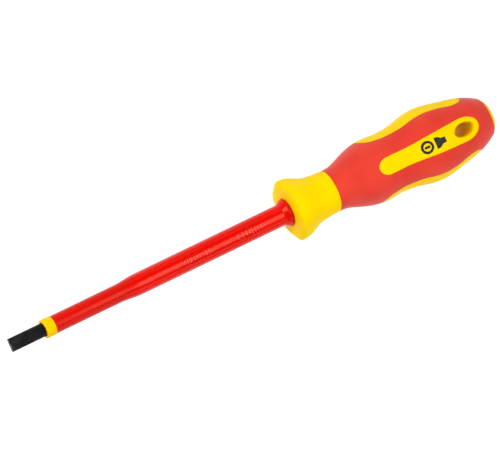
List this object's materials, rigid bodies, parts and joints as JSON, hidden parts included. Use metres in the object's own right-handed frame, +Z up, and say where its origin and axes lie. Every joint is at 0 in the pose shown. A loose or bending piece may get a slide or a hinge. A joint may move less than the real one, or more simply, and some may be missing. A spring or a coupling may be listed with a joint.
{
  "type": "insulated screwdriver",
  "caption": "Slotted insulated screwdriver: flat-tipped rod in a two-layer sleeve, hexagonal guard, waisted soft grip with windows, hanging hole.",
  "frame": {"origin": "under the middle of the tool's length, on the surface that it lies on, level with its lower window", "axes": "+X along the tool from the tip to the handle's end, +Z up through the hanging hole and the grip's upper window"},
  "size_m": [0.26, 0.0358, 0.0351],
  "materials": {
    "black_oxide_steel": "black oxide, matt, finely ground flats",
    "yellow_insulation": "moulded, satin gloss",
    "red_insulation": "moulded, glossy",
    "core_plastic": "moulded, hidden inside the handle",
    "yellow_plastic": "moulded, fine satin",
    "red_soft_grip": "soft-touch, fine matt grain"
  },
  "bodies": {
    "root": {"blade": "black_oxide_steel", "inner_insulation_sleeve": "yellow_insulation", "outer_insulation_sleeve": "red_insulation", "tang_core": "core_plastic", "handle_body": "yellow_plastic", "grip_overmould": "red_soft_grip"}
  },
  "joints": []
}
